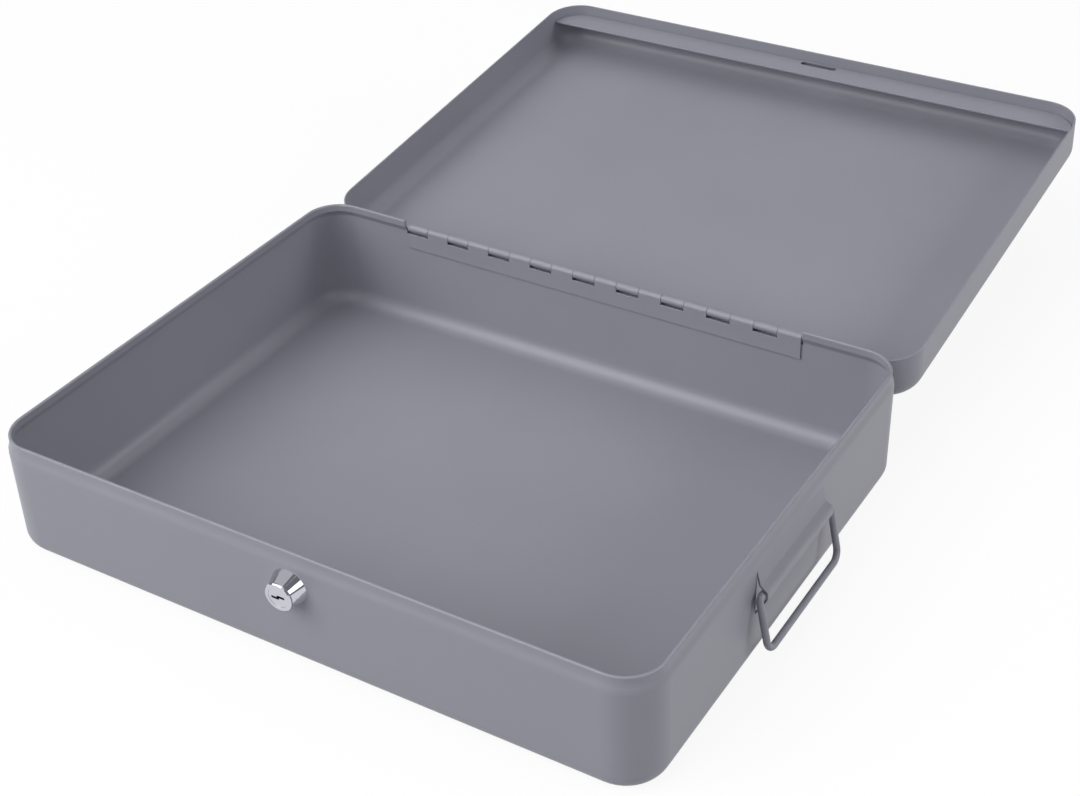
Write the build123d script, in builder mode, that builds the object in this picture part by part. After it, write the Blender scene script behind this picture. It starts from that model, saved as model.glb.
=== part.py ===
from build123d import *

import os
from math import atan2, cos, degrees, radians, sin

# Document box of pressed sheet steel: a tray with a lid that hangs on a long piano hinge at the back,
# a wire carrying handle on the right side and a cam lock in the front. The lid is thrown back and unlocked.
# Millimetres, X to the right, Y to the back, Z up. The origin is the middle of the tray's flat underside.

# Tray
tray_width = 376.0
tray_depth = 288.0
tray_height = 68.5
corner_radius = 22.0
tray_edge_radius = 10.0
sheet = 0.9

# Rim: the wall slopes in over a soft shoulder, so that the lid's skirt shuts flush with the wall below.
# The rim's edge is folded down inside, so it is two sheets thick.
rim_height = 4.4
rim_clearance = 0.4
seat_clearance = 0.4
shoulder_rise = 3.5
shoulder_bend = 8.0
hem_radius = 0.8

# Lid
lid_depth = 28.5
lid_edge_radius = 9.5
lid_open_angle = 174.4

# Piano hinge
hinge_length = 256.0
knuckle_count = 18
hinge_sheet = 0.9
hinge_pin_diameter = 2.8
hinge_pin_chamfer = 0.4
pin_clearance = 0.05
knuckle_clearance = 0.2
tray_leaf_drop = 12.6
lid_leaf_rise = 14.4
leaf_relief = 3.2
wall_relief = 3.8
notch_end_clearance = 1.0
axis_below_shoulder = 1.5

# Lock rail, spot-welded inside the lid's front skirt
rail_reach = 18.0
rail_rise = 3.1
rail_leg = 9.0
rail_end_clearance = 0.2
rail_bend_radius = 0.7
rail_slot_width = 4.0
rail_slot_left = -3.0
rail_slot_right = 22.0

# Lock housing: a cone that widens towards the wall, behind a thin face with a slight rim
lock_drop = 20.1
lock_face_diameter = 15.4
lock_face_thickness = 1.2
lock_waist_diameter = 14.6
lock_base_diameter = 20.5
lock_projection = 8.8
lock_chamfer = 0.4
neck_diameter = 13.0
neck_flats = 11.6
neck_clearance = 0.1
lock_washer_diameter = 18.5
lock_washer_thickness = 0.5
lock_washer_teeth = 16
lock_washer_tooth_depth = 1.2
lock_washer_tooth_gap = 1.4
nut_thickness = 1.9
nut_flats = 17.0

# Lock plug, with its keyway lying flat
plug_diameter = 9.0
plug_head_diameter = 11.0
plug_head_thickness = 1.5
plug_recess = 0.12
plug_clearance = 0.05
keyway_length = 6.6
keyway_width = 1.3
keyway_jog = 1.1
keyway_depth = 8.7
tail_size = 6.0
tail_set_back = 0.1

# Wafers, drawn in as they are with the key in the lock, and their springs
wafer_count = 5
wafer_pitch = 1.4
wafer_thickness = 0.7
wafer_height = 4.0
wafer_window_length = 7.0
wafer_window_height = 2.6
wafer_clearance = 0.1
first_wafer_depth = 2.3
wafer_groove_depth = 1.0
wafer_groove_length = 7.6
ear_right = 3.0
ear_width = 0.8
ear_height = 1.2
spring_length = 2.6
spring_diameter = 1.0
spring_wire = 0.2
spring_pitch = 0.5
spring_clearance = 0.1

# Cam, its washer and its screw
cam_thickness = 1.5
cam_running_gap = 0.2
cam_hub_radius = 7.5
cam_arm_left = -2.5
cam_arm_right = 4.5
cam_barb_reach = 6.0
cam_barb_height = 5.0
cam_hook_clearance = 0.4
cam_corner_radius = 1.2
cam_washer_diameter = 12.0
cam_washer_thickness = 0.8
screw_diameter = 4.0
screw_length = 5.0
screw_head_diameter = 8.0
screw_head_height = 2.4
screw_head_round = 0.8
screw_cross_length = 4.2
screw_cross_width = 0.9
screw_cross_depth = 1.4
fit_clearance = 0.05

# Carrying handle and the bridge pressed out of the right wall to hold it
wire_diameter = 3.6
handle_width = 84.0
handle_drop = 30.6
handle_lean = 11.5
handle_end_length = 16.0
handle_top_bend = 2.5
handle_bottom_bend = 6.0
pivot_out = 3.1
bridge_drop = 7.6
bridge_slope_height = 8.5
bridge_valley_out = 1.6
valley_above_pivot = 4.8
bridge_tail_height = 13.0
bridge_end_gap = 1.5
bridge_bend = 2.0
bridge_lap = 2.0
wire_clearance = 0.2

# Places that follow from the sizes above
rim_step = sheet + rim_clearance
rim_inner_step = rim_step + 2 * sheet
shoulder_height = tray_height - rim_height
shoulder_foot = shoulder_height - shoulder_rise
shoulder_slope = degrees(atan2(rim_step, shoulder_rise))
lid_rim_height = shoulder_height + seat_clearance
wall_back = tray_depth / 2
wall_front = -tray_depth / 2
wall_right = tray_width / 2
knuckle_bore_radius = hinge_pin_diameter / 2 + pin_clearance
knuckle_radius = knuckle_bore_radius + hinge_sheet
hinge_y = wall_back - sheet - hinge_sheet + knuckle_radius
hinge_z = shoulder_height - axis_below_shoulder
hinge_axis = Axis((0, hinge_y, hinge_z), (1, 0, 0))
knuckle_pitch = hinge_length / knuckle_count
notch_length = hinge_length + 2 * notch_end_clearance
rail_bottom = tray_height + rail_rise
rail_top = rail_bottom + sheet
lock_height = tray_height - lock_drop
lock_face = wall_front - lock_projection
washer_back = wall_front + sheet + lock_washer_thickness
nut_back = washer_back + nut_thickness
cam_front = nut_back + cam_running_gap
cam_back = cam_front + cam_thickness
cam_middle = cam_front + cam_thickness / 2
plug_face = lock_face + plug_recess
head_seat = plug_face + plug_head_thickness
bridge_top = shoulder_height - bridge_drop
bridge_valley_height = bridge_top - bridge_slope_height
pivot_height = bridge_valley_height - valley_above_pivot
bridge_bottom = pivot_height - bridge_tail_height
bridge_length = handle_width - 2 * (wire_diameter + bridge_end_gap)
past = 2.0


def lock_plane(y):
    """A plane across the lock at y: its x is the box's X, its y is up and its normal points forward."""
    return Plane(origin=(0, y, lock_height), x_dir=(1, 0, 0), z_dir=(0, -1, 0))


def hinge_plane(x):
    """A plane across the hinge at x: its x is the box's Y, its y is up and its normal points right."""
    return Plane(origin=(x, hinge_y, hinge_z), x_dir=(0, 1, 0), z_dir=(1, 0, 0))


def lid_thrown_back(shut_piece):
    """The piece of the lid as it lies when the lid is thrown back on its hinge."""
    return shut_piece.rotate(hinge_axis, -lid_open_angle)


def knuckle_starts(first):
    """Left ends of every second knuckle, from the first one given."""
    for index in range(first, knuckle_count, 2):
        yield -hinge_length / 2 + index * knuckle_pitch + knuckle_clearance / 2


# Tray: a drawn shell with a rim set in. Its inside is drawn first, to be taken out of it.
with BuildPart() as tray_hollow:
    with BuildSketch(Plane.XY.offset(sheet)):
        RectangleRounded(tray_width - 2 * sheet, tray_depth - 2 * sheet, corner_radius - sheet)
    extrude(amount=shoulder_foot - sheet)
    fillet(tray_hollow.faces().sort_by(Axis.Z)[0].edges(), tray_edge_radius - sheet)
    extrude(tray_hollow.faces().sort_by(Axis.Z)[-1], amount=shoulder_rise, taper=shoulder_slope)
    with BuildSketch(Plane.XY.offset(shoulder_height)):
        RectangleRounded(
            tray_width - 2 * rim_inner_step,
            tray_depth - 2 * rim_inner_step,
            corner_radius - rim_inner_step,
        )
    extrude(amount=rim_height)

# The bridge's section, from the wall's middle out over the wire and back. It is open at both ends.
bead_out = pivot_out + wire_diameter / 2 + wire_clearance + sheet / 2
bead_top = pivot_height + wire_diameter / 2
bead_bottom = pivot_height - wire_diameter / 2
bridge_section = Plane(origin=(wall_right, 0, 0), x_dir=(1, 0, 0), z_dir=(0, -1, 0))

with BuildPart() as tray:
    with BuildSketch():
        RectangleRounded(tray_width, tray_depth, corner_radius)
    extrude(amount=shoulder_foot)
    fillet(tray.faces().sort_by(Axis.Z)[0].edges(), tray_edge_radius)
    extrude(tray.faces().sort_by(Axis.Z)[-1], amount=shoulder_rise, taper=shoulder_slope)
    with BuildSketch(Plane.XY.offset(shoulder_height)):
        RectangleRounded(tray_width - 2 * rim_step, tray_depth - 2 * rim_step, corner_radius - rim_step)
    extrude(amount=rim_height)
    for level in (shoulder_foot, shoulder_height):
        fillet(tray.edges().filter_by_position(Axis.Z, level, level), shoulder_bend)
    add(tray_hollow.part, mode=Mode.SUBTRACT)
    fillet(tray.faces().sort_by(Axis.Z)[-1].edges(), hem_radius)
    # Notch for the hinge
    with BuildSketch(Plane.XY.offset(hinge_z - wall_relief)):
        with Locations((0, wall_back)):
            Rectangle(notch_length, 2 * (rim_inner_step + past))
    extrude(amount=tray_height, mode=Mode.SUBTRACT)
    # Lock hole, with two flats that keep the lock from turning
    with BuildSketch(lock_plane(wall_front + sheet + past)):
        Circle(neck_diameter / 2 + neck_clearance)
        Rectangle(neck_flats + 2 * neck_clearance, 2 * neck_diameter, mode=Mode.INTERSECT)
    extrude(amount=sheet + 2 * past, mode=Mode.SUBTRACT)
    # Bridge for the handle
    with BuildSketch(Plane.YZ.offset(wall_right + past)):
        with Locations((0, (bridge_bottom + bridge_top) / 2)):
            Rectangle(bridge_length, bridge_top - bridge_bottom + bridge_lap)
    extrude(amount=-(sheet + 2 * past), mode=Mode.SUBTRACT)
    with BuildSketch(bridge_section):
        with BuildLine() as bridge_line:
            FilletPolyline(
                (-sheet / 2, bridge_top + bridge_lap),
                (-sheet / 2, bridge_top),
                (bridge_valley_out, bridge_valley_height),
                (bead_out, bead_top),
                (bead_out, bead_bottom),
                (-sheet / 2, bridge_bottom),
                (-sheet / 2, bridge_bottom - bridge_lap),
                radius=bridge_bend,
            )
        trace(bridge_line.line, line_width=sheet)
    extrude(amount=bridge_length / 2, both=True)
tray.part.label = "tray"


# Lid: drawn shut, a panel whose skirt stands just above the tray's shoulder
with BuildPart() as lid_hollow:
    with BuildSketch(Plane.XY.offset(lid_rim_height)):
        RectangleRounded(tray_width - 2 * sheet, tray_depth - 2 * sheet, corner_radius - sheet)
    extrude(amount=lid_depth - sheet)
    fillet(lid_hollow.faces().sort_by(Axis.Z)[-1].edges(), lid_edge_radius - sheet)

with BuildPart() as shut_lid:
    with BuildSketch(Plane.XY.offset(lid_rim_height)):
        RectangleRounded(tray_width, tray_depth, corner_radius)
    extrude(amount=lid_depth)
    fillet(shut_lid.faces().sort_by(Axis.Z)[-1].edges(), lid_edge_radius)
    add(lid_hollow.part, mode=Mode.SUBTRACT)
    # Notch for the hinge
    with BuildSketch(Plane.XY.offset(hinge_z + wall_relief)):
        with Locations((0, wall_back)):
            Rectangle(notch_length, 2 * (sheet + past))
    extrude(amount=-(wall_relief + past), mode=Mode.SUBTRACT)

with BuildPart() as lid:
    add(lid_thrown_back(shut_lid.part))
lid.part.label = "lid"


# Hinge leaves: a flat strip against the wall, rolled into knuckles round the pin
with BuildPart() as tray_hinge_leaf:
    with BuildSketch(hinge_plane(-hinge_length / 2)):
        with Locations((-knuckle_radius, -tray_leaf_drop)):
            Rectangle(hinge_sheet, tray_leaf_drop - leaf_relief, align=(Align.MIN, Align.MIN))
    extrude(amount=hinge_length)
    for start in knuckle_starts(first=1):
        with BuildSketch(hinge_plane(start)):
            Circle(knuckle_radius)
            with Locations((-knuckle_radius, 0)):
                Rectangle(hinge_sheet, tray_leaf_drop, align=(Align.MIN, Align.MAX))
            Circle(knuckle_bore_radius, mode=Mode.SUBTRACT)
        extrude(amount=knuckle_pitch - knuckle_clearance)
tray_hinge_leaf.part.label = "tray_hinge_leaf"

with BuildPart() as shut_lid_leaf:
    with BuildSketch(hinge_plane(-hinge_length / 2)):
        with Locations((-knuckle_radius, leaf_relief)):
            Rectangle(hinge_sheet, lid_leaf_rise - leaf_relief, align=(Align.MIN, Align.MIN))
    extrude(amount=hinge_length)
    for start in knuckle_starts(first=0):
        with BuildSketch(hinge_plane(start)):
            Circle(knuckle_radius)
            with Locations((-knuckle_radius, 0)):
                Rectangle(hinge_sheet, lid_leaf_rise, align=(Align.MIN, Align.MIN))
            Circle(knuckle_bore_radius, mode=Mode.SUBTRACT)
        extrude(amount=knuckle_pitch - knuckle_clearance)

with BuildPart() as lid_hinge_leaf:
    add(lid_thrown_back(shut_lid_leaf.part))
lid_hinge_leaf.part.label = "lid_hinge_leaf"

with BuildPart() as hinge_pin:
    with BuildSketch(hinge_plane(-hinge_length / 2)):
        Circle(hinge_pin_diameter / 2)
    extrude(amount=hinge_length)
    chamfer(hinge_pin.faces().filter_by(Axis.X).edges(), hinge_pin_chamfer)
hinge_pin.part.label = "hinge_pin"


# Lock rail: a ledge that follows the lid's corners, with a leg that is welded to the skirt
with BuildPart() as shut_rail:
    with BuildSketch(Plane.XY.offset(rail_bottom)):
        RectangleRounded(
            tray_width - 2 * sheet - 2 * rail_end_clearance,
            tray_depth - 2 * sheet,
            corner_radius - sheet - rail_end_clearance,
        )
        with Locations((0, wall_front)):
            Rectangle(tray_width, 2 * rail_reach, mode=Mode.INTERSECT)
    extrude(amount=sheet)
    with BuildSketch(Plane.XY.offset(rail_bottom)):
        with Locations((0, wall_front + sheet)):
            Rectangle(tray_width - 2 * corner_radius, sheet, align=(Align.CENTER, Align.MIN))
    extrude(amount=rail_leg)
    fillet(shut_rail.edges().filter_by(Axis.X).group_by(Axis.Z)[0].sort_by(Axis.Y)[0], rail_bend_radius)
    with BuildSketch(Plane.XY.offset(rail_bottom)):
        with Locations(((rail_slot_left + rail_slot_right) / 2, cam_middle)):
            SlotOverall(rail_slot_right - rail_slot_left, rail_slot_width)
    extrude(amount=sheet, mode=Mode.SUBTRACT)

with BuildPart() as lock_rail:
    add(lid_thrown_back(shut_rail.part))
lock_rail.part.label = "lock_rail"


# Lock housing: a plated cone in front of the wall, a flatted neck through it and a bore for the plug
with BuildPart() as lock_housing:
    with Locations(lock_plane(wall_front)):
        Cone(
            lock_base_diameter / 2,
            lock_waist_diameter / 2,
            lock_projection - lock_face_thickness,
            align=(Align.CENTER, Align.CENTER, Align.MIN),
        )
    with BuildSketch(lock_plane(lock_face + lock_face_thickness)):
        Circle(lock_face_diameter / 2)
    extrude(amount=lock_face_thickness)
    chamfer(lock_housing.faces().sort_by(Axis.Y)[0].edges(), lock_chamfer)
    with BuildSketch(lock_plane(nut_back)):
        Circle(neck_diameter / 2)
        Rectangle(neck_flats, 2 * neck_diameter, mode=Mode.INTERSECT)
    extrude(amount=nut_back - wall_front)
    with BuildSketch(lock_plane(nut_back)):
        Circle(plug_diameter / 2 + plug_clearance)
    extrude(amount=nut_back - lock_face, mode=Mode.SUBTRACT)
    with BuildSketch(lock_plane(head_seat + plug_clearance)):
        Circle(plug_head_diameter / 2 + plug_clearance)
    extrude(amount=head_seat + plug_clearance - lock_face, mode=Mode.SUBTRACT)
    # Grooves on both sides of the bore, where the wafers spring out when the key is drawn
    with BuildSketch(lock_plane(head_seat + wafer_groove_length)):
        Rectangle(plug_diameter + 2 * wafer_groove_depth, wafer_height + 4 * wafer_clearance)
    extrude(amount=wafer_groove_length, mode=Mode.SUBTRACT)
lock_housing.part.label = "lock_housing"

with BuildPart() as lock_washer:
    with BuildSketch(lock_plane(washer_back)):
        Circle(lock_washer_diameter / 2)
        Circle(neck_diameter / 2 + neck_clearance, mode=Mode.SUBTRACT)
        with PolarLocations(lock_washer_diameter / 2, lock_washer_teeth):
            Rectangle(2 * lock_washer_tooth_depth, lock_washer_tooth_gap, mode=Mode.SUBTRACT)
    extrude(amount=lock_washer_thickness)
lock_washer.part.label = "lock_washer"

with BuildPart() as lock_nut:
    with BuildSketch(lock_plane(nut_back)):
        RegularPolygon(nut_flats / 2, 6, major_radius=False)
        Circle(neck_diameter / 2 + neck_clearance, mode=Mode.SUBTRACT)
    extrude(amount=nut_thickness)
lock_nut.part.label = "lock_nut"


def wafer_fronts():
    """Front faces of the wafers, one behind another in the plug."""
    for index in range(wafer_count):
        yield plug_face + first_wafer_depth + index * wafer_pitch


# Where a wafer's ear stands above it, and where its spring pushes on that ear
ear_bottom = wafer_height / 2
ear_left = ear_right - ear_width
spring_z = lock_height + ear_bottom + wafer_clearance + spring_diameter / 2 + spring_clearance
spring_left = ear_left - spring_length
wafer_reach = plug_diameter / 2 - wafer_clearance

# Lock plug: a headed cylinder with the keyway, the wafers' slots and a square tail for the cam
with BuildPart() as lock_plug:
    with BuildSketch(lock_plane(head_seat)):
        Circle(plug_head_diameter / 2)
    extrude(amount=plug_head_thickness)
    with BuildSketch(lock_plane(cam_front)):
        Circle(plug_diameter / 2)
    extrude(amount=cam_front - head_seat)
    with BuildSketch(lock_plane(cam_back - tail_set_back)):
        Rectangle(tail_size, tail_size)
    extrude(amount=cam_thickness - tail_set_back)
    with BuildSketch(lock_plane(plug_face)):
        with Locations((-keyway_length / 4, -keyway_jog / 2), (keyway_length / 4, keyway_jog / 2)):
            SlotOverall(keyway_length / 2 + keyway_width, keyway_width)
    extrude(amount=-keyway_depth, mode=Mode.SUBTRACT)
    for front in wafer_fronts():
        with BuildSketch(lock_plane(front + wafer_thickness + wafer_clearance)):
            Rectangle(plug_head_diameter, wafer_height + 2 * wafer_clearance)
            with Locations((ear_right + wafer_clearance, 0)):
                Rectangle(
                    ear_width + 2 * wafer_clearance,
                    ear_bottom + ear_height + wafer_clearance,
                    align=(Align.MAX, Align.MIN),
                )
        extrude(amount=wafer_thickness + 2 * wafer_clearance, mode=Mode.SUBTRACT)
        spring_pocket = Plane(
            origin=(spring_left - spring_clearance, front + wafer_thickness / 2, spring_z),
            z_dir=(1, 0, 0),
        )
        with BuildSketch(spring_pocket):
            Circle(spring_diameter / 2 + spring_clearance)
        extrude(amount=spring_length + spring_clearance, mode=Mode.SUBTRACT)
    with Locations(lock_plane(cam_back - tail_set_back).rotated((0, 180, 0))):
        Hole(screw_diameter / 2 + fit_clearance, depth=screw_length - cam_washer_thickness)
lock_plug.part.label = "lock_plug"

with BuildPart() as lock_wafers:
    for front in wafer_fronts():
        with BuildSketch(lock_plane(front + wafer_thickness)):
            Rectangle(plug_diameter, wafer_height)
            with Locations((ear_right, 0)):
                Rectangle(ear_width, ear_bottom + ear_height, align=(Align.MAX, Align.MIN))
            Circle(wafer_reach, mode=Mode.INTERSECT)
            Rectangle(wafer_window_length, wafer_window_height, mode=Mode.SUBTRACT)
        extrude(amount=wafer_thickness)
lock_wafers.part.label = "lock_wafers"

with BuildPart() as wafer_springs:
    for front in wafer_fronts():
        with BuildLine() as coil:
            Helix(
                pitch=spring_pitch,
                height=spring_length - spring_wire,
                radius=(spring_diameter - spring_wire) / 2,
                center=(spring_left + spring_wire / 2, front + wafer_thickness / 2, spring_z),
                direction=(1, 0, 0),
            )
        with BuildSketch(Plane(origin=coil.line @ 0, z_dir=coil.line % 0)):
            Circle(spring_wire / 2)
        sweep(path=coil.line, is_frenet=True)
wafer_springs.part.label = "wafer_springs"


# Cam: a hook whose arm lies to the right when unlocked. It is drawn turned up, as it locks, then laid down.
hook_underside = rail_top + cam_hook_clearance - lock_height
hook_top = hook_underside + cam_barb_height

with BuildPart() as turned_up_cam:
    with BuildSketch(lock_plane(cam_back)) as hook:
        Circle(cam_hub_radius)
        with Locations((cam_arm_left, 0)):
            Rectangle(cam_arm_right - cam_arm_left, hook_top, align=(Align.MIN, Align.MIN))
        with Locations((cam_arm_left, hook_underside)):
            Rectangle(cam_barb_reach, cam_barb_height, align=(Align.MAX, Align.MIN))
        fillet(hook.vertices().group_by(Axis.Y)[-1], cam_corner_radius)
        Rectangle(tail_size + 2 * fit_clearance, tail_size + 2 * fit_clearance, mode=Mode.SUBTRACT)
    extrude(amount=cam_thickness)

with BuildPart() as lock_cam:
    add(turned_up_cam.part.rotate(Axis((0, cam_back, lock_height), (0, 1, 0)), 90))
lock_cam.part.label = "lock_cam"

with BuildPart() as cam_washer:
    with BuildSketch(lock_plane(cam_back + cam_washer_thickness)):
        Circle(cam_washer_diameter / 2)
        Circle(screw_diameter / 2 + fit_clearance, mode=Mode.SUBTRACT)
    extrude(amount=cam_washer_thickness)
cam_washer.part.label = "cam_washer"

with BuildPart() as cam_screw:
    head_base = cam_back + cam_washer_thickness
    with BuildSketch(lock_plane(head_base)):
        Circle(screw_diameter / 2)
    extrude(amount=screw_length - fit_clearance)
    with BuildSketch(lock_plane(head_base + screw_head_height)):
        Circle(screw_head_diameter / 2)
    extrude(amount=screw_head_height)
    fillet(cam_screw.faces().sort_by(Axis.Y)[-1].edges(), screw_head_round)
    with BuildSketch(lock_plane(head_base + screw_head_height)):
        Rectangle(screw_cross_length, screw_cross_width)
        Rectangle(screw_cross_width, screw_cross_length)
    extrude(amount=screw_cross_depth, mode=Mode.SUBTRACT)
cam_screw.part.label = "cam_screw"


# Carrying handle: one wire whose ends turn in under the bridge
handle_half = (handle_width - wire_diameter) / 2
handle_plane = Plane(
    origin=(wall_right + pivot_out, 0, pivot_height),
    x_dir=(0, 1, 0),
    z_dir=(cos(radians(handle_lean)), 0, sin(radians(handle_lean))),
)
with BuildPart() as carry_handle:
    with BuildLine(handle_plane) as handle_path:
        FilletPolyline(
            (handle_end_length - handle_half, 0),
            (-handle_half, 0),
            (-handle_half, -handle_drop),
            (handle_half, -handle_drop),
            (handle_half, 0),
            (handle_half - handle_end_length, 0),
            radius=(handle_top_bend, handle_bottom_bend, handle_bottom_bend, handle_top_bend),
        )
    with BuildSketch(Plane(origin=handle_path.line @ 0, z_dir=handle_path.line % 0)):
        Circle(wire_diameter / 2)
    sweep(path=handle_path.line)
carry_handle.part.label = "carry_handle"


os.makedirs("parts", exist_ok=True)
for piece in (
    tray,
    lid,
    tray_hinge_leaf,
    lid_hinge_leaf,
    hinge_pin,
    lock_rail,
    lock_housing,
    lock_washer,
    lock_nut,
    lock_plug,
    lock_wafers,
    wafer_springs,
    lock_cam,
    cam_washer,
    cam_screw,
    carry_handle,
):
    export_step(piece.part, f"parts/{piece.part.label}.step")
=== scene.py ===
"""Grey steel document box: the paint, plating, floor, light and camera round its CAD frame.

The frame gives every shape and place in metres: a tray and a lid of pressed sheet, a piano hinge between
them, a wire handle in a bridge on the right wall, and a cam lock in the front wall. Each sub-assembly below
finishes its own parts as the real ones are finished.
"""

from __future__ import annotations

import logging
import math
from dataclasses import dataclass, field
from enum import Enum
from typing import Any, Protocol

import bpy
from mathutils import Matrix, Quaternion, Vector

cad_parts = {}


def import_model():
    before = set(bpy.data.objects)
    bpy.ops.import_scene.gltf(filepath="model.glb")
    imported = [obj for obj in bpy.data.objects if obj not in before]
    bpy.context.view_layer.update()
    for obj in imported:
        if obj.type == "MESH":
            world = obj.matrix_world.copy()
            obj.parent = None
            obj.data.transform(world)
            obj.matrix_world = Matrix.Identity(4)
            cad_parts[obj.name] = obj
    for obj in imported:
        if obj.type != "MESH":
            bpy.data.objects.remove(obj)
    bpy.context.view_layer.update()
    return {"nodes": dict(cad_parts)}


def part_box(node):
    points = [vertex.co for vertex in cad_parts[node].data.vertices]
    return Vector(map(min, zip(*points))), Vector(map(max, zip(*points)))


LOG = logging.getLogger("document_box")
MM = 0.001

PICTURE_WIDTH_PX = 1080

# Sockets of a colour Mix node, which has the same names for all its kinds of value
MIX_SHARE = 0
MIX_FROM = 6
MIX_TO = 7
MIXED = 2


def linear(code: str) -> tuple[float, float, float, float]:
    """Turn an sRGB hex colour into linear light.

    Args:
        code: The colour as "#RRGGBB".

    Returns:
        Red, green, blue and an alpha of one.
    """
    channels = [int(code[start : start + 2], 16) / 255 for start in (1, 3, 5)]
    lit = [c / 12.92 if c <= 0.04045 else ((c + 0.055) / 1.055) ** 2.4 for c in channels]
    return (lit[0], lit[1], lit[2], 1.0)


def per_metre(feature_mm: float) -> float:
    """Give the noise scale whose features are feature_mm across in object coordinates."""
    return 1.0 / (feature_mm * MM)


def add_node(
    tree: bpy.types.NodeTree,
    kind: str,
    settings: dict[str, Any] | None = None,
    values: dict[str | int, Any] | None = None,
    links: dict[str | int, bpy.types.NodeSocket] | None = None,
) -> bpy.types.Node:
    """Add one shader node with its settings, socket values and incoming links.

    Args:
        tree: The node tree that gets the node.
        kind: The node's Blender type name.
        settings: Properties of the node itself.
        values: Default values of its input sockets, by name or number.
        links: Output sockets of other nodes, by the input that each feeds.

    Returns:
        The new node.
    """
    node = tree.nodes.new(kind)
    for name, value in (settings or {}).items():
        setattr(node, name, value)
    for name, value in (values or {}).items():
        node.inputs[name].default_value = value
    for name, source in (links or {}).items():
        tree.links.new(source, node.inputs[name])
    return node


def new_material(name: str) -> tuple[bpy.types.Material, bpy.types.Node]:
    """Make an empty node material.

    Args:
        name: The material's name.

    Returns:
        The material and its Principled BSDF node, already linked to the output.
    """
    material = bpy.data.materials.new(name)
    material.use_nodes = True
    tree = material.node_tree
    tree.nodes.clear()
    shader = add_node(tree, "ShaderNodeBsdfPrincipled")
    add_node(tree, "ShaderNodeOutputMaterial", links={"Surface": shader.outputs[0]})
    return material, shader


class Finish(Protocol):
    """Anything that can make the material of a part."""

    def build(self) -> bpy.types.Material:
        """Make the material."""


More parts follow.
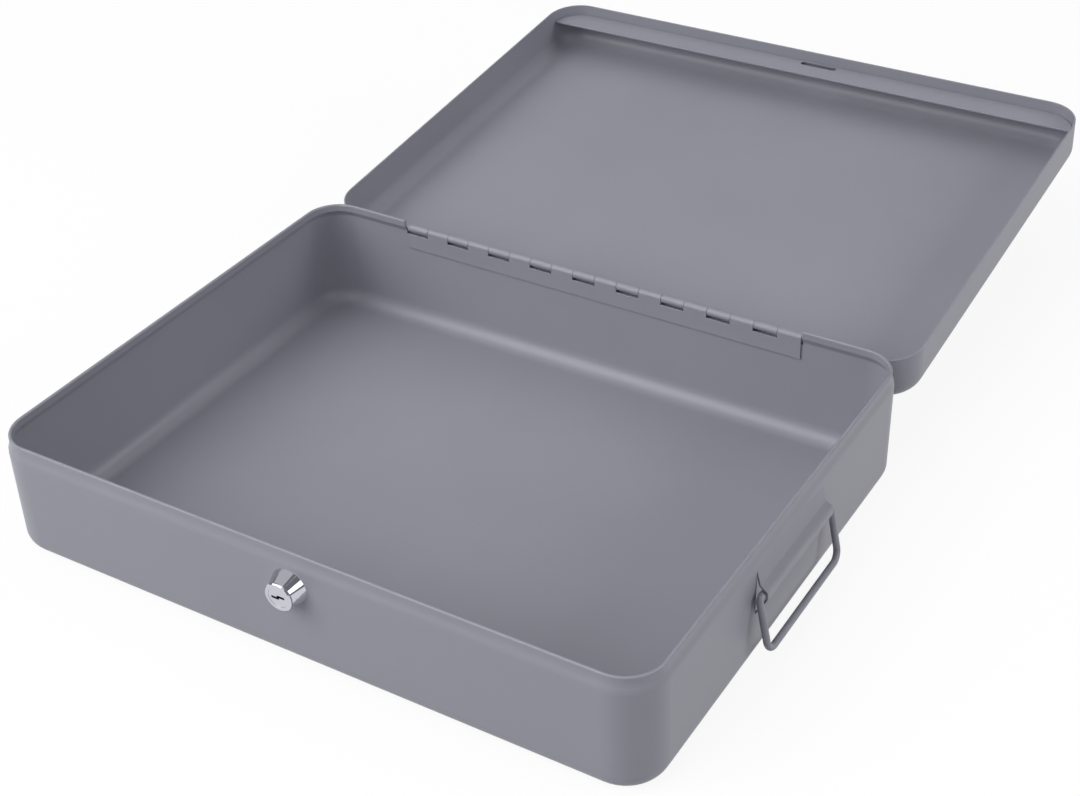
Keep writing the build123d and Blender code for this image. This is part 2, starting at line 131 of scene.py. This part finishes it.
@dataclass(frozen=True)
class SatinEnamel:
    """Stoving enamel, sprayed on pressed mild steel and baked.

    It lies as one even film, so the eye gets a broad soft sheen, a very fine orange peel, a slow wave where
    the sheet isn't quite flat, a painted highlight along every sheared or folded edge and painted shade in
    slots and folds.
    """

    name: str = "Grey satin stoving enamel on steel"
    film: str = "#91919C"
    film_shade: str = "#8A8A94"
    # Painted highlight: the paler colour put on every edge
    edge_highlight: str = "#B9B9C1"
    roughness: float = 0.42
    roughness_swing: float = 0.05
    ior: float = 1.5
    cloud_mm: float = 70.0
    cloud_detail: float = 3.0
    cloud_fineness: float = 0.55
    # Real peel is about 0.8 mm across. It is drawn coarser, because that is too fine to show from here.
    peel_mm: float = 1.6
    peel_height_mm: float = 0.006
    peel_detail: float = 1.5
    sheet_wave_mm: float = 110.0
    sheet_wave_height_mm: float = 0.25
    edge_width_mm: float = 0.45
    edge_highlight_share: float = 0.2
    edge_samples: int = 6
    # Cosine between the rounded and the true normal, where the painted edge highlight starts and where it
    # is strongest
    edge_highlight_starts: float = 0.995
    edge_highlight_full: float = 0.85
    # Painted shade: this dark colour is mixed in where the part's own shape closes in within this distance,
    # so slots and folds look dark.
    painted_shade: str = "#232327"
    shade_reach_mm: float = 12.0
    shade_share: float = 0.3
    shade_samples: int = 8
    # Share of free space before a spot, where the painted shade starts and where it is darkest
    shade_starts: float = 0.8
    shade_full: float = 0.58

    def build(self) -> bpy.types.Material:
        """Make the enamel's material."""
        material, shader = new_material(self.name)
        tree = material.node_tree
        place = add_node(tree, "ShaderNodeTexCoord").outputs["Object"]
        cloud = add_node(
            tree,
            "ShaderNodeTexNoise",
            values={
                "Scale": per_metre(self.cloud_mm),
                "Detail": self.cloud_detail,
                "Roughness": self.cloud_fineness,
            },
            links={"Vector": place},
        )
        peel = add_node(
            tree,
            "ShaderNodeTexNoise",
            values={"Scale": per_metre(self.peel_mm), "Detail": self.peel_detail},
            links={"Vector": place},
        )
        wave = add_node(
            tree,
            "ShaderNodeTexNoise",
            values={"Scale": per_metre(self.sheet_wave_mm), "Detail": 0.0},
            links={"Vector": place},
        )
        film = add_node(
            tree,
            "ShaderNodeMix",
            settings={"data_type": "RGBA"},
            values={MIX_FROM: linear(self.film_shade), MIX_TO: linear(self.film)},
            links={MIX_SHARE: cloud.outputs["Fac"]},
        )
        # Painted shade: ambient occlusion of the part's own shape mixes in the dark colour
        unoccluded = add_node(
            tree,
            "ShaderNodeAmbientOcclusion",
            settings={"samples": self.shade_samples, "only_local": True},
            values={"Distance": self.shade_reach_mm * MM},
        )
        shade_mask = add_node(
            tree,
            "ShaderNodeMapRange",
            settings={"interpolation_type": "SMOOTHSTEP"},
            values={
                "From Min": self.shade_starts,
                "From Max": self.shade_full,
                "To Max": self.shade_share,
            },
            links={"Value": unoccluded.outputs["AO"]},
        )
        shaded_film = add_node(
            tree,
            "ShaderNodeMix",
            settings={"data_type": "RGBA"},
            values={MIX_TO: linear(self.painted_shade)},
            links={MIX_SHARE: shade_mask.outputs["Result"], MIX_FROM: film.outputs[MIXED]},
        )
        rounded = add_node(
            tree,
            "ShaderNodeBevel",
            settings={"samples": self.edge_samples},
            values={"Radius": self.edge_width_mm * MM},
        )
        true = add_node(tree, "ShaderNodeNewGeometry")
        facing = add_node(
            tree,
            "ShaderNodeVectorMath",
            settings={"operation": "DOT_PRODUCT"},
            links={0: rounded.outputs["Normal"], 1: true.outputs["Normal"]},
        )
        edge_highlight_mask = add_node(
            tree,
            "ShaderNodeMapRange",
            settings={"interpolation_type": "SMOOTHSTEP"},
            values={
                "From Min": self.edge_highlight_starts,
                "From Max": self.edge_highlight_full,
                "To Max": self.edge_highlight_share,
            },
            links={"Value": facing.outputs["Value"]},
        )
        # Painted highlight: a paler colour mixed in where the rounded normal turns away from the true one
        colour = add_node(
            tree,
            "ShaderNodeMix",
            settings={"data_type": "RGBA"},
            values={MIX_TO: linear(self.edge_highlight)},
            links={MIX_SHARE: edge_highlight_mask.outputs["Result"], MIX_FROM: shaded_film.outputs[MIXED]},
        )
        roughness = add_node(
            tree,
            "ShaderNodeMapRange",
            values={
                "To Min": self.roughness - self.roughness_swing,
                "To Max": self.roughness + self.roughness_swing,
            },
            links={"Value": cloud.outputs["Fac"]},
        )
        wave_bump = add_node(
            tree,
            "ShaderNodeBump",
            values={"Distance": self.sheet_wave_height_mm * MM},
            links={"Height": wave.outputs["Fac"], "Normal": rounded.outputs["Normal"]},
        )
        peel_bump = add_node(
            tree,
            "ShaderNodeBump",
            values={"Distance": self.peel_height_mm * MM},
            links={"Height": peel.outputs["Fac"], "Normal": wave_bump.outputs["Normal"]},
        )
        shader.inputs["IOR"].default_value = self.ior
        tree.links.new(colour.outputs[MIXED], shader.inputs["Base Color"])
        tree.links.new(roughness.outputs["Result"], shader.inputs["Roughness"])
        tree.links.new(peel_bump.outputs["Normal"], shader.inputs["Normal"])
        return material


@dataclass(frozen=True)
class BrightChrome:
    """Decorative chrome over nickel on a die-cast lock.

    The turned side is polished, so it mirrors the room as bright and dark stripes. The front keeps the fine
    rings of the facing tool, so it is paler, more even and a little satin.
    """

    name: str = "Bright chrome plate on die casting"
    plate: str = "#C8C8D0"
    side_roughness: float = 0.07
    face_roughness: float = 0.3
    # Facing marks are about 0.1 mm apart. They are drawn coarser, because that is too fine to show.
    ring_mm: float = 0.35
    ring_height_mm: float = 0.006
    turned_part: str = "lock_housing"
    # The normal's y, where a surface starts to count as the front and where it is wholly the front
    face_starts: float = -0.9
    face_full: float = -0.99

    def build(self) -> bpy.types.Material:
        """Make the plating's material."""
        low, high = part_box(self.turned_part)
        axis = ((low[0] + high[0]) / 2, 0.0, (low[2] + high[2]) / 2)
        material, shader = new_material(self.name)
        tree = material.node_tree
        where = add_node(tree, "ShaderNodeTexCoord")
        from_axis = add_node(
            tree,
            "ShaderNodeVectorMath",
            settings={"operation": "SUBTRACT"},
            values={1: axis},
            links={0: where.outputs["Object"]},
        )
        across = add_node(
            tree,
            "ShaderNodeVectorMath",
            settings={"operation": "MULTIPLY"},
            values={1: (1.0, 0.0, 1.0)},
            links={0: from_axis.outputs["Vector"]},
        )
        radius = add_node(
            tree,
            "ShaderNodeVectorMath",
            settings={"operation": "LENGTH"},
            links={0: across.outputs["Vector"]},
        )
        turns = add_node(
            tree,
            "ShaderNodeMath",
            settings={"operation": "MULTIPLY"},
            values={1: 2 * math.pi * per_metre(self.ring_mm)},
            links={0: radius.outputs["Value"]},
        )
        rings = add_node(
            tree, "ShaderNodeMath", settings={"operation": "SINE"}, links={0: turns.outputs[0]}
        )
        normal = add_node(tree, "ShaderNodeSeparateXYZ", links={0: where.outputs["Normal"]})
        faces_front = add_node(
            tree,
            "ShaderNodeMapRange",
            values={"From Min": self.face_starts, "From Max": self.face_full},
            links={"Value": normal.outputs["Y"]},
        )
        ring_height = add_node(
            tree,
            "ShaderNodeMath",
            settings={"operation": "MULTIPLY"},
            links={0: rings.outputs[0], 1: faces_front.outputs["Result"]},
        )
        bump = add_node(
            tree,
            "ShaderNodeBump",
            values={"Distance": self.ring_height_mm * MM},
            links={"Height": ring_height.outputs[0]},
        )
        roughness = add_node(
            tree,
            "ShaderNodeMapRange",
            values={"To Min": self.side_roughness, "To Max": self.face_roughness},
            links={"Value": faces_front.outputs["Result"]},
        )
        shader.inputs["Base Color"].default_value = linear(self.plate)
        shader.inputs["Metallic"].default_value = 1.0
        tree.links.new(roughness.outputs["Result"], shader.inputs["Roughness"])
        tree.links.new(bump.outputs["Normal"], shader.inputs["Normal"])
        return material


@dataclass(frozen=True)
class WorkedMetal:
    """Small metal parts straight from the press, the lathe or the coiling machine.

    The surface is plain metal with drawing marks along one axis and a slightly uneven tone.
    """

    name: str
    metal: str
    metal_shade: str
    roughness: float
    mark_mm: float
    mark_height_mm: float = 0.004
    stretch: tuple[float, float, float] = (1.0, 1.0, 1.0)
    tone_mm: float = 3.0
    detail: float = 2.0

    def build(self) -> bpy.types.Material:
        """Make the metal's material."""
        material, shader = new_material(self.name)
        tree = material.node_tree
        place = add_node(tree, "ShaderNodeTexCoord").outputs["Object"]
        tone = add_node(
            tree,
            "ShaderNodeTexNoise",
            values={"Scale": per_metre(self.tone_mm), "Detail": self.detail},
            links={"Vector": place},
        )
        along = add_node(
            tree,
            "ShaderNodeVectorMath",
            settings={"operation": "MULTIPLY"},
            values={1: self.stretch},
            links={0: place},
        )
        marks = add_node(
            tree,
            "ShaderNodeTexNoise",
            values={"Scale": per_metre(self.mark_mm), "Detail": self.detail},
            links={"Vector": along.outputs["Vector"]},
        )
        colour = add_node(
            tree,
            "ShaderNodeMix",
            settings={"data_type": "RGBA"},
            values={MIX_FROM: linear(self.metal_shade), MIX_TO: linear(self.metal)},
            links={MIX_SHARE: tone.outputs["Fac"]},
        )
        bump = add_node(
            tree,
            "ShaderNodeBump",
            values={"Distance": self.mark_height_mm * MM},
            links={"Height": marks.outputs["Fac"]},
        )
        shader.inputs["Metallic"].default_value = 1.0
        shader.inputs["Roughness"].default_value = self.roughness
        tree.links.new(colour.outputs[MIXED], shader.inputs["Base Color"])
        tree.links.new(bump.outputs["Normal"], shader.inputs["Normal"])
        return material


class Stock(Enum):
    """The finishes that this box is made in."""

    # Sprayed and baked paint: soft even sheen, a painted highlight on the edges and painted shade in
    # recesses
    ENAMEL = SatinEnamel()
    # The same paint on the rail, with strong painted shade behind it, so that its slot looks dark
    # Painted shade: occlusion darkening at full share on the rail
    RAIL_ENAMEL = SatinEnamel(
        "Grey satin stoving enamel, thin behind the rail",
        painted_shade="#1A1A1D",
        shade_share=1.0,
        shade_starts=0.92,
        shade_full=0.7,
    )
    # Polished plating: a mirror on the side, satin rings on the face
    CHROME = BrightChrome()
    # Bright zinc on pressed steel: cool, slightly blue and cloudy
    ZINC = WorkedMetal("Bright zinc plate on steel", "#C9CDD2", "#B2B5B4", 0.34, 0.5)
    # Cold-drawn wire: fine marks along its length
    DRAWN_STEEL = WorkedMetal(
        "Cold-drawn steel wire", "#A9A8A6", "#8F8E8C", 0.38, 0.3, stretch=(0.05, 1.0, 1.0)
    )
    # Rolled and blanked sheet: warm yellow with faint marks
    BRASS = WorkedMetal("Blanked brass sheet", "#D3B36B", "#B9965A", 0.3, 0.25)

    def material(self) -> bpy.types.Material:
        """Give this finish's material, made once."""
        finish: Finish = self.value
        return bpy.data.materials.get(finish.name) or finish.build()


@dataclass
class SubAssembly:
    """Parts that are made and finished together."""

    title: str
    finishes: dict[str, Stock] = field(default_factory=dict)

    def dress(self, nodes: dict[str, bpy.types.Object]) -> None:
        """Give each part its finish.

        Args:
            nodes: The frame's CAD objects by name.
        """
        for name, stock in self.finishes.items():
            for slot in nodes[name].material_slots:
                slot.material = stock.material()
            LOG.info("%s: %s in %s", self.title, name, stock.value.name)


@dataclass
class PressedCase(SubAssembly):
    """The tray and the lid, drawn from sheet and painted, with the rail welded inside the lid."""

    title: str = "pressed case"
    finishes: dict[str, Stock] = field(
        default_factory=lambda: {"tray": Stock.ENAMEL, "lid": Stock.ENAMEL, "lock_rail": Stock.RAIL_ENAMEL}
    )


@dataclass
class PianoHinge(SubAssembly):
    """Two leaves that were welded on before painting, and the pin through their knuckles."""

    title: str = "piano hinge"
    finishes: dict[str, Stock] = field(
        default_factory=lambda: {
            "tray_hinge_leaf": Stock.ENAMEL,
            "lid_hinge_leaf": Stock.ENAMEL,
            "hinge_pin": Stock.DRAWN_STEEL,
        }
    )


@dataclass
class WireHandle(SubAssembly):
    """The bent wire on the right wall, painted with the box."""

    title: str = "wire handle"
    finishes: dict[str, Stock] = field(default_factory=lambda: {"carry_handle": Stock.ENAMEL})


@dataclass
class CamLock(SubAssembly):
    """The plated lock in the front wall, with its works behind the wall."""

    title: str = "cam lock"
    finishes: dict[str, Stock] = field(
        default_factory=lambda: {
            "lock_housing": Stock.CHROME,
            "lock_plug": Stock.CHROME,
            "lock_nut": Stock.CHROME,
            "lock_washer": Stock.ZINC,
            "lock_cam": Stock.ZINC,
            "cam_washer": Stock.ZINC,
            "cam_screw": Stock.ZINC,
            "lock_wafers": Stock.BRASS,
            "wafer_springs": Stock.DRAWN_STEEL,
        }
    )


@dataclass(frozen=True)
class SoftBox:
    """One large soft studio lamp."""

    name: str
    at: tuple[float, float, float]
    side: float
    watts: float

    def place(self, aim: Vector) -> None:
        """Hang the lamp and turn it to the object.

        Args:
            aim: The point that it faces.
        """
        data = bpy.data.lights.new(self.name, "AREA")
        data.shape = "SQUARE"
        data.size = self.side
        data.energy = self.watts
        lamp = bpy.data.objects.new(self.name, data)
        lamp.location = self.at
        lamp.rotation_mode = "QUATERNION"
        lamp.rotation_quaternion = (aim - lamp.location).to_track_quat("-Z", "Y")
        bpy.context.scene.collection.objects.link(lamp)


@dataclass
class Studio:
    """The pale floor, the soft light and the room that the lock's plating mirrors."""

    floor_side: float = 14.0
    floor_colour: str = "#A6A6AA"
    floor_glow: float = 0.9
    backdrop_colour: str = "#FFFFFF"
    ceiling_colour: str = "#808084"
    # Height on a sphere of radius one, where the white backdrop ends and where the ceiling is wholly grey
    backdrop_top: float = 0.0
    ceiling_start: float = 0.08
    room_strength: float = 0.16
    lamps: tuple[SoftBox, ...] = (
        SoftBox("Front left softbox", (-1.15, -1.7, 1.6), 2.4, 60.0),
        SoftBox("Front softbox", (-0.3, -1.9, 1.7), 2.4, 14.0),
        SoftBox("Right rear softbox", (2.0, 0.8, 0.9), 1.0, 15.5),
        SoftBox("Right front softbox", (2.0, -0.35, 1.0), 0.95, 7.5),
        SoftBox("Overhead left softbox", (-0.95, 0.3, 2.0), 3.2, 14.0),
        SoftBox("Overhead right softbox", (0.3, 0.9, 2.0), 2.4, 8.0),
    )

    def build(self, aim: Vector) -> None:
        """Set up the floor, the world and the lamps.

        Args:
            aim: The point that the lamps face.
        """
        self.build_floor()
        self.build_room()
        for lamp in self.lamps:
            lamp.place(aim)

    def build_floor(self) -> None:
        """Lay a floor that looks nearly white and takes a soft shadow, but throws back little light."""
        half = self.floor_side / 2
        mesh = bpy.data.meshes.new("Studio floor")
        corners = [(-half, -half, 0.0), (half, -half, 0.0), (half, half, 0.0), (-half, half, 0.0)]
        mesh.from_pydata(corners, [], [(0, 1, 2, 3)])
        floor = bpy.data.objects.new("Studio floor", mesh)
        bpy.context.scene.collection.objects.link(floor)
        material = bpy.data.materials.new("Matt floor paper")
        material.use_nodes = True
        tree = material.node_tree
        tree.nodes.clear()
        seen = self.seen_directly(tree)
        tint = add_node(
            tree,
            "ShaderNodeMix",
            settings={"data_type": "RGBA"},
            values={MIX_FROM: linear(self.floor_colour), MIX_TO: linear(self.backdrop_colour)},
            links={MIX_SHARE: seen},
        )
        paper = add_node(tree, "ShaderNodeBsdfDiffuse", links={"Color": tint.outputs[MIXED]})
        glow = add_node(tree, "ShaderNodeEmission", values={"Color": linear(self.backdrop_colour)})
        share = add_node(
            tree,
            "ShaderNodeMath",
            settings={"operation": "MULTIPLY"},
            values={1: self.floor_glow},
            links={0: seen},
        )
        mixed = add_node(
            tree,
            "ShaderNodeMixShader",
            links={0: share.outputs[0], 1: paper.outputs[0], 2: glow.outputs[0]},
        )
        add_node(tree, "ShaderNodeOutputMaterial", links={"Surface": mixed.outputs[0]})
        mesh.materials.append(material)

    def build_room(self) -> None:
        """Light the room evenly, with a white backdrop that turns into a grey ceiling over the horizon."""
        world = bpy.data.worlds.new("Studio room")
        bpy.context.scene.world = world
        world.use_nodes = True
        tree = world.node_tree
        tree.nodes.clear()
        direction = add_node(tree, "ShaderNodeTexCoord").outputs["Generated"]
        height = add_node(tree, "ShaderNodeSeparateXYZ", links={0: direction})
        ceiling_share = add_node(
            tree,
            "ShaderNodeMapRange",
            settings={"interpolation_type": "SMOOTHSTEP"},
            values={"From Min": self.backdrop_top, "From Max": self.ceiling_start},
            links={"Value": height.outputs["Z"]},
        )
        colour = add_node(
            tree,
            "ShaderNodeMix",
            settings={"data_type": "RGBA"},
            values={MIX_FROM: linear(self.backdrop_colour), MIX_TO: linear(self.ceiling_colour)},
            links={MIX_SHARE: ceiling_share.outputs["Result"]},
        )
        strength = add_node(
            tree,
            "ShaderNodeMapRange",
            values={"To Min": self.room_strength},
            links={"Value": self.seen_directly(tree)},
        )
        light = add_node(
            tree,
            "ShaderNodeBackground",
            links={"Color": colour.outputs[MIXED], "Strength": strength.outputs["Result"]},
        )
        add_node(tree, "ShaderNodeOutputWorld", links={"Surface": light.outputs[0]})

    @staticmethod
    def seen_directly(tree: bpy.types.NodeTree) -> bpy.types.NodeSocket:
        """Tell rays that show a thing, straight or mirrored, from those that only light a surface.

        Args:
            tree: The node tree that gets the nodes.

        Returns:
            A socket that is one for such a ray and else zero.
        """
        ray = add_node(tree, "ShaderNodeLightPath")
        straight_or_mirrored = add_node(
            tree,
            "ShaderNodeMath",
            settings={"operation": "MAXIMUM"},
            links={0: ray.outputs["Is Camera Ray"], 1: ray.outputs["Is Glossy Ray"]},
        )
        seen = add_node(
            tree,
            "ShaderNodeMath",
            settings={"operation": "MAXIMUM"},
            links={0: straight_or_mirrored.outputs[0], 1: ray.outputs["Is Transmission Ray"]},
        )
        return seen.outputs[0]


@dataclass(frozen=True)
class ViewPoint:
    """The photograph's camera, worked out from the tray's edges in it."""

    at: tuple[float, float, float] = (0.45542, -0.64555, 0.60769)
    looks_at: tuple[float, float, float] = (-0.01515, 0.10468, 0.0)
    roll_degrees: float = 1.91
    focal_length_px: float = 1865.5
    sensor_mm: float = 36.0
    nearest: float = 0.01
    furthest: float = 50.0

    def place(self) -> None:
        """Set up the scene's camera."""
        data = bpy.data.cameras.new("Photograph camera")
        data.sensor_fit = "HORIZONTAL"
        data.sensor_width = self.sensor_mm
        data.lens = self.focal_length_px / PICTURE_WIDTH_PX * self.sensor_mm
        data.clip_start = self.nearest
        data.clip_end = self.furthest
        camera = bpy.data.objects.new("Photograph camera", data)
        camera.location = self.at
        camera.rotation_mode = "QUATERNION"
        gaze = Vector(self.looks_at) - Vector(self.at)
        tilt = Quaternion((0.0, 0.0, 1.0), -math.radians(self.roll_degrees))
        camera.rotation_quaternion = gaze.to_track_quat("-Z", "Y") @ tilt
        bpy.context.scene.collection.objects.link(camera)
        bpy.context.scene.camera = camera


def main() -> None:
    """Build the scene round the frame."""
    logging.basicConfig(level=logging.INFO, format="%(name)s: %(message)s")
    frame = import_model()
    bpy.context.scene.view_settings.view_transform = "Standard"
    tray_low, tray_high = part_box("tray")
    ViewPoint().place()
    Studio().build((Vector(tray_low) + Vector(tray_high)) / 2)
    for part in (PressedCase(), PianoHinge(), WireHandle(), CamLock()):
        part.dress(frame["nodes"])


if __name__ == "__main__":
    main()
